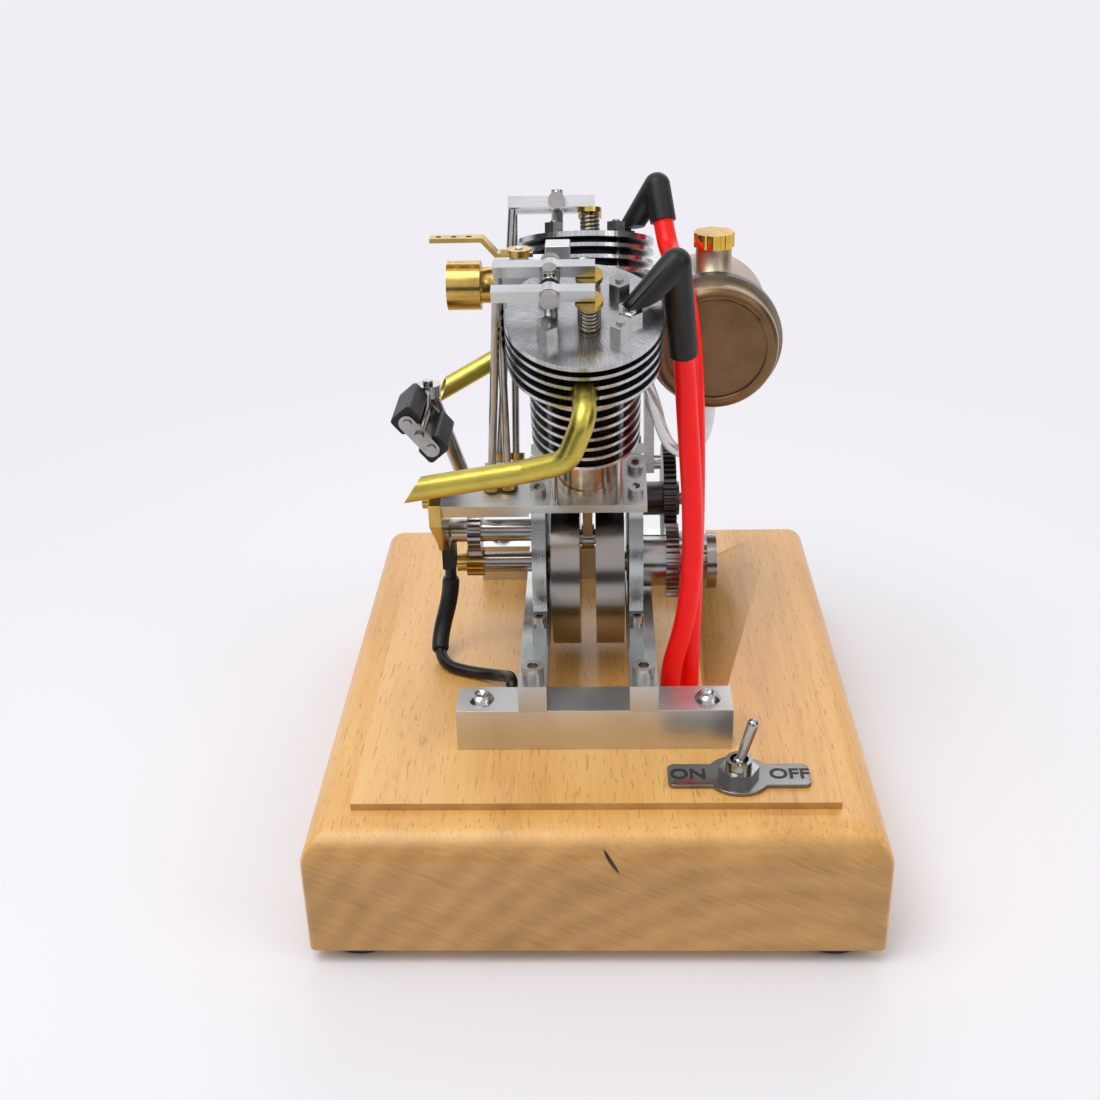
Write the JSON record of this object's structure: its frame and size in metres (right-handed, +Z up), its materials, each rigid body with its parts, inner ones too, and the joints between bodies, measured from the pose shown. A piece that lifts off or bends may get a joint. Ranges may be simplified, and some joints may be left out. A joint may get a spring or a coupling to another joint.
{
  "type": "model v-twin engine",
  "caption": "Desktop model of an overhead-valve V-twin petrol engine with kick starter, carburettor, fuel tank and toggle switch on a beech base.",
  "frame": {"origin": "centre of the base's footprint, on the plane its rubber feet rest on", "axes": "+X along the crankshaft to the fuel tank side, -Y the front with the toggle switch, +Z up"},
  "size_m": [0.13, 0.16, 0.1537],
  "materials": {
    "wood": "satin oiled beech",
    "ignition": "moulded",
    "foot": "matt",
    "aluminium": "milled satin",
    "fins": "turned bright",
    "steel": "polished",
    "screw": "bright",
    "brass": "polished",
    "raw_brass": "raw drawn tube",
    "boot": "matt",
    "tank": "bronze metallic",
    "gold": "gold plated",
    "hose": "clear flexible",
    "red_lead": "silicone",
    "black_lead": "cable",
    "chrome": "nickel plated",
    "pedal_rubber": "matt"
  },
  "bodies": {
    "frame": {"wood_base": "wood", "ignition_box": "ignition", "rubber_feet": "foot", "cross_bars": "aluminium", "bar_screws": "screw", "side_rails": "aluminium", "frame_screws": "screw", "side_plates": "aluminium", "main_bearings": "brass", "deck_plates": "aluminium", "tappet_blocks": "aluminium", "tappet_guides": "brass", "gear_end_plate": "brass", "cylinder_barrels": "fins", "cylinder_heads": "fins", "head_studs": "screw", "head_nuts": "screw", "exhaust_pipes": "raw_brass", "spark_plugs": "screw", "plug_boots": "boot", "rocker_stands": "steel", "carburettor_body": "aluminium", "intake_bell": "brass", "intake_manifold": "steel", "fuel_tank": "tank", "tank_bracket": "aluminium", "fuel_hose": "hose", "front_plug_lead": "red_lead", "rear_plug_lead": "red_lead", "pickup_lead": "black_lead", "pickup_sensor": "ignition", "switch_body": "chrome", "switch_plate": "chrome", "switch_nut": "chrome", "valve_springs": "steel"},
    "crank": {"crankshaft": "steel", "crank_pinion": "brass"},
    "cam": {"camshaft": "steel"},
    "clutch": {"starter_clutch": "steel"},
    "kicker": {"kick_gear": "steel", "kick_arm": "steel"},
    "pedal": {"pedal_frame": "steel", "pedal_rubbers": "pedal_rubber"},
    "front_piston": {"front_piston": "fins"},
    "rear_piston": {"rear_piston": "fins"},
    "throttle": {"throttle_lever": "brass"},
    "cap": {"fuel_cap": "gold"},
    "toggle": {"switch_lever": "chrome"},
    "front_outer_rocker": {"front_outer_rocker": "aluminium"},
    "front_outer_valve": {"front_outer_valve": "brass"},
    "front_outer_pushrod": {"front_outer_pushrod": "steel"},
    "front_inner_rocker": {"front_inner_rocker": "aluminium"},
    "front_inner_valve": {"front_inner_valve": "brass"},
    "front_inner_pushrod": {"front_inner_pushrod": "steel"},
    "rear_outer_rocker": {"rear_outer_rocker": "aluminium"},
    "rear_outer_valve": {"rear_outer_valve": "brass"},
    "rear_outer_pushrod": {"rear_outer_pushrod": "steel"},
    "rear_inner_rocker": {"rear_inner_rocker": "aluminium"},
    "rear_inner_valve": {"rear_inner_valve": "brass"},
    "rear_inner_pushrod": {"rear_inner_pushrod": "steel"}
  },
  "joints": [
    {"name": "crank_spin", "type": "hinge", "parent": "frame", "child": "crank", "pos_m": [0, 0, 0.0616], "axis": [1, 0, 0], "continuous": true},
    {"name": "cam_spin", "type": "hinge", "parent": "frame", "child": "cam", "pos_m": [0, 0, 0.0706], "axis": [1, 0, 0], "continuous": true},
    {"name": "kick", "type": "hinge", "parent": "frame", "child": "kicker", "pos_m": [0, 0.022, 0.06912], "axis": [1, 0, 0], "range_deg": [-40, 0], "stiffness_Nm_per_rad": 0.02, "springref_deg": 28.65},
    {"name": "clutch_spin", "type": "hinge", "parent": "frame", "child": "clutch", "pos_m": [0, 0, 0.0616], "axis": [1, 0, 0], "range_deg": [-1, 64]},
    {"name": "pedal_fold", "type": "hinge", "parent": "kicker", "child": "pedal", "pos_m": [-0.0393, -0.003, 0.1096], "axis": [0, 0, 1], "range_deg": [-90, 0]},
    {"name": "throttle", "type": "hinge", "parent": "frame", "child": "throttle", "pos_m": [-0.0165, 0, 0.141], "axis": [0, 0, 1], "range_deg": [-25, 25]},
    {"name": "cap_turn", "type": "hinge", "parent": "frame", "child": "cap", "pos_m": [0.0302, 0.02, 0.138], "axis": [0, 0, 1], "continuous": true},
    {"name": "switch_toggle", "type": "hinge", "parent": "frame", "child": "toggle", "pos_m": [0.0325, -0.06, 0.0409], "axis": [0, 1, 0], "range_deg": [-30, 0]},
    {"name": "front_piston_slide", "type": "slide", "parent": "frame", "child": "front_piston", "axis": [0, -0.3827, 0.9239], "range_m": [0, 0.014]},
    {"name": "front_outer_rocker_rock", "type": "hinge", "parent": "frame", "child": "front_outer_rocker", "pos_m": [-0.00835, -0.03832, 0.14341], "axis": [0, 0.9239, 0.3827], "range_deg": [0, 8.5]},
    {"name": "front_outer_valve_lift", "type": "slide", "parent": "frame", "child": "front_outer_valve", "axis": [0, 0.3827, -0.9239], "range_m": [0, 0.0012], "deforming": ["valve_springs"]},
    {"name": "front_outer_pushrod_lift", "type": "slide", "parent": "frame", "child": "front_outer_pushrod", "axis": [0.0802, -0.4124, 0.9075], "range_m": [0, 0.0015], "stiffness_N_per_m": 20, "springref_m": -0.0005},
    {"name": "front_inner_rocker_rock", "type": "hinge", "parent": "frame", "child": "front_inner_rocker", "pos_m": [-0.00835, -0.03075, 0.14655], "axis": [0, 0.9239, 0.3827], "range_deg": [0, 8.5]},
    {"name": "front_inner_valve_lift", "type": "slide", "parent": "frame", "child": "front_inner_valve", "axis": [0, 0.3827, -0.9239], "range_m": [0, 0.0012]},
    {"name": "front_inner_pushrod_lift", "type": "slide", "parent": "frame", "child": "front_inner_pushrod", "axis": [0.0112, -0.2844, 0.9586], "range_m": [0, 0.0015], "stiffness_N_per_m": 20, "springref_m": -0.0005},
    {"name": "rear_piston_slide", "type": "slide", "parent": "frame", "child": "rear_piston", "axis": [0, 0.3827, 0.9239], "range_m": [0, 0.014]},
    {"name": "rear_outer_rocker_rock", "type": "hinge", "parent": "frame", "child": "rear_outer_rocker", "pos_m": [-0.00835, 0.03832, 0.14341], "axis": [0, 0.9239, -0.3827], "range_deg": [0, 8.5]},
    {"name": "rear_outer_valve_lift", "type": "slide", "parent": "frame", "child": "rear_outer_valve", "axis": [0, -0.3827, -0.9239], "range_m": [0, 0.0012]},
    {"name": "rear_outer_pushrod_lift", "type": "slide", "parent": "frame", "child": "rear_outer_pushrod", "axis": [0.006, 0.3534, 0.9355], "range_m": [0, 0.0015], "stiffness_N_per_m": 20, "springref_m": -0.0005},
    {"name": "rear_inner_rocker_rock", "type": "hinge", "parent": "frame", "child": "rear_inner_rocker", "pos_m": [-0.00835, 0.03075, 0.14655], "axis": [0, 0.9239, -0.3827], "range_deg": [0, 8.5]},
    {"name": "rear_inner_valve_lift", "type": "slide", "parent": "frame", "child": "rear_inner_valve", "axis": [0, -0.3827, -0.9239], "range_m": [0, 0.0012]},
    {"name": "rear_inner_pushrod_lift", "type": "slide", "parent": "frame", "child": "rear_inner_pushrod", "axis": [0.0686, 0.299, 0.9518], "range_m": [0, 0.0015], "stiffness_N_per_m": 20, "springref_m": -0.0005}
  ],
  "couplings": [
    {"joint": "cam_spin", "follows": "crank_spin", "ratio": -0.5},
    {"joint": "clutch_spin", "follows": "kick", "ratio": -1.5833},
    {"joint": "front_outer_valve_lift", "follows": "front_outer_pushrod_lift", "ratio": 0.73214},
    {"joint": "front_outer_rocker_rock", "follows": "front_outer_pushrod_lift", "rad_per_m": 89.286},
    {"joint": "front_inner_valve_lift", "follows": "front_inner_pushrod_lift", "ratio": 0.73214},
    {"joint": "front_inner_rocker_rock", "follows": "front_inner_pushrod_lift", "rad_per_m": 89.286},
    {"joint": "rear_outer_valve_lift", "follows": "rear_outer_pushrod_lift", "ratio": 0.73214},
    {"joint": "rear_outer_rocker_rock", "follows": "rear_outer_pushrod_lift", "rad_per_m": 89.286},
    {"joint": "rear_inner_valve_lift", "follows": "rear_inner_pushrod_lift", "ratio": 0.73214},
    {"joint": "rear_inner_rocker_rock", "follows": "rear_inner_pushrod_lift", "rad_per_m": 89.286}
  ]
}
